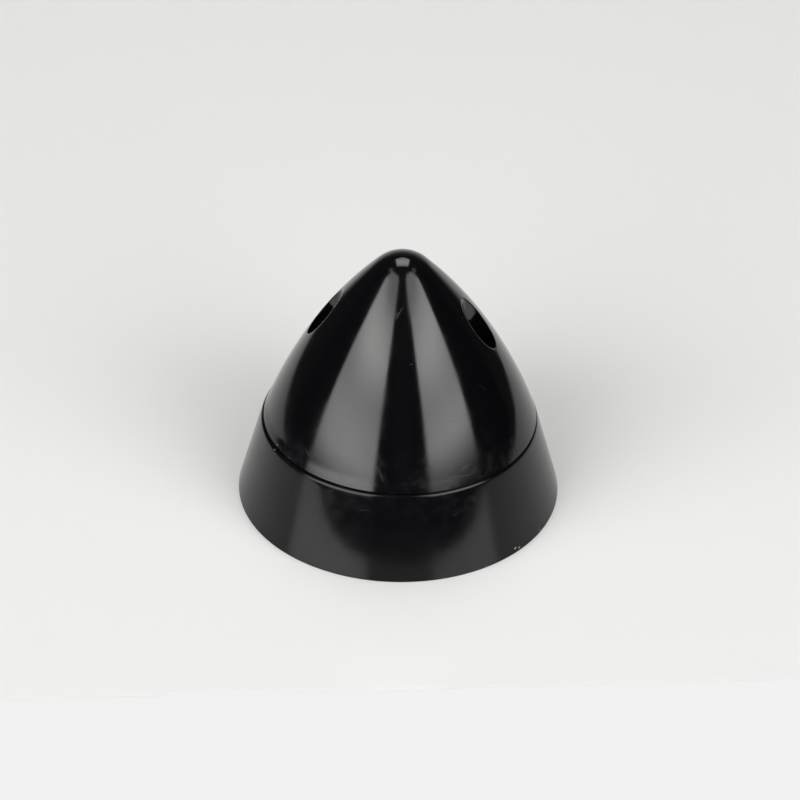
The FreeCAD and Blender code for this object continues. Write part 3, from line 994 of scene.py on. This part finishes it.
# A flat panel over the far side of the object: places on it are shares of its distance, across and up
overhead = {
    "azimuth": 180.0,
    "elevation": 64.0,
    "halfWidth": 0.3,
    "halfHeight": 0.42,
    "columns": 61,
    "rows": 85,
    "glow": 4.3,
    "brightest": 0.06,       # up
    "glowReach": 0.36,
    "gable": -0.3,           # the lower edge's lowest place
    "gableSlope": 0.35,
    "gableBlur": (0.04, 0.05),
    "topEdge": (0.28, 0.34),
    "sideEdge": (0.23, 0.27),
}


def makeTopPanel():
    # its lower edge is cut to a low gable
    panel = overhead
    wide, tall = panel["halfWidth"], panel["halfHeight"]
    acrossAll, upAll = np.linspace(-wide, wide, panel["columns"]), np.linspace(-tall, tall, panel["rows"])
    across, up = np.meshgrid(acrossAll, upAll)
    out = towards(panel["azimuth"], panel["elevation"])
    sideways = towards(90, 0)
    upward = np.cross(out, sideways)
    upward = upward * np.sign(upward[2])
    places = out + across[..., None] * sideways + up[..., None] * upward
    gable = panel["gable"] + panel["gableSlope"] * abs(across)
    before, after = panel["gableBlur"]
    glow = panel["glow"] * np.exp(-((up - panel["brightest"]) / panel["glowReach"]) ** 2)
    glow = glow * fade(up, gable - before, gable + after) * (1 - fade(up, *panel["topEdge"]))
    glow = glow * (1 - fade(abs(across), *panel["sideEdge"]))
    glowPanel("overhead softbox", places * studio["panelDistance"], glow)


table = {
    "colour": "#dddedd",
    "roughness": 0.2,
    "ior": 1.5,
    "halfWidth": 125.0,
    "behind": 900.0,
    "front": 56.5,           # from the object's axis to the front edge
    "slant": 0.066,          # by which the front edge runs askew to the view
}


def makeTable():
    # glossy white board that ends a little in front of the object
    across, away = towards(90, 0), -towards(0, 0)
    wide, back = table["halfWidth"], table["behind"]
    corners = [across * x + away * y for x, y in [
        (-wide, -table["front"] - table["slant"] * wide), (wide, -table["front"] + table["slant"] * wide),
        (wide, back), (-wide, back)]]
    mesh = bpy.data.meshes.new("table")
    mesh.from_pydata((np.array(corners) * millimetre).tolist(), [], [[0, 1, 2, 3]])
    material = newMaterial("glossy white board")
    shader = node(material.node_tree, "BsdfPrincipled", values={
        "Base Color": linear(table["colour"]), "Roughness": table["roughness"], "IOR": table["ior"]})
    node(material.node_tree, "OutputMaterial", links={"Surface": shader.outputs["BSDF"]})
    mesh.materials.append(material)
    board = bpy.data.objects.new("table", mesh)
    bpy.context.scene.collection.objects.link(board)


room = {
    "dark": 0.022,           # the room everywhere
    "wall": 0.9,             # the pale wall behind the object, at the horizon
    "wallTop": 0.1,          # the same wall, high up
    "wallAzimuth": 176.0,    # its middle
    "wallFrom": (0.7, 0.94),       # cosines from its middle, where it begins and where it is at full glow
    "wallHeights": (-0.15, 0.5),   # sines of the elevations over which it dims
    "backdrop": 0.885,       # what the camera sees past the table
}


def makeWorld():
    # a dark room with a pale wall behind the object, brightest at the horizon; past the table the camera
    # sees a plain pale backdrop
    world = bpy.data.worlds.new("room")
    world.use_nodes = True
    tree = world.node_tree
    tree.nodes.clear()
    direction = node(tree, "TexCoord").outputs["Generated"]
    height = node(tree, "SeparateXYZ", links={"Vector": direction}).outputs["Z"]
    middle = towards(room["wallAzimuth"], 0).tolist()
    facing = node(tree, "VectorMath", {"operation": "DOT_PRODUCT"}, {1: middle}, {0: direction})
    begins, full = room["wallFrom"]
    behind = node(tree, "MapRange", {"interpolation_type": "SMOOTHSTEP"},
                  {"From Min": begins, "From Max": full}, {"Value": facing.outputs["Value"]})
    lowest, highest = room["wallHeights"]
    low = node(tree, "MapRange", {"interpolation_type": "SMOOTHSTEP"}, {
        "From Min": lowest, "From Max": highest, "To Min": room["wall"], "To Max": room["wallTop"]},
        {"Value": height})
    wall = node(tree, "Math", {"operation": "MULTIPLY"},
                links={0: behind.outputs["Result"], 1: low.outputs["Result"]})
    around = node(tree, "Math", {"operation": "ADD"}, {1: room["dark"]}, {0: wall.outputs["Value"]})
    seen = node(tree, "LightPath").outputs["Is Camera Ray"]
    strength = node(tree, "Mix", {"data_type": "FLOAT"}, {3: room["backdrop"]},
                    {0: seen, 2: around.outputs["Value"]})
    light = node(tree, "Background", values={"Color": (1, 1, 1, 1)}, links={"Strength": strength.outputs[0]})
    node(tree, "OutputWorld", links={"Surface": light.outputs["Background"]})
    bpy.context.scene.world = world


def makeCamera():
    out = towards(0, camera["elevation"])
    data = bpy.data.cameras.new("camera")
    data.lens = camera["lens"]
    data.sensor_width = camera["sensor"]
    data.shift_y = -camera["shift"]
    data.clip_start, data.clip_end = camera["clip"]
    eye = bpy.data.objects.new("camera", data)
    bpy.context.scene.collection.objects.link(eye)
    target = np.array([0, 0, camera["lookAtHeight"]])
    eye.location = Vector((target + out * camera["distance"]) * millimetre)
    aim = Vector(-out).to_track_quat("-Z", "Y")
    eye.rotation_mode = "QUATERNION"
    eye.rotation_quaternion = aim @ Quaternion((0, 0, 1), math.radians(camera["roll"]))
    bpy.context.scene.camera = eye


makeTable()
makeSidePanels()
makeTopPanel()
makeWorld()
makeCamera()
bpy.context.scene.view_settings.view_transform = "Standard"
print("stage made")
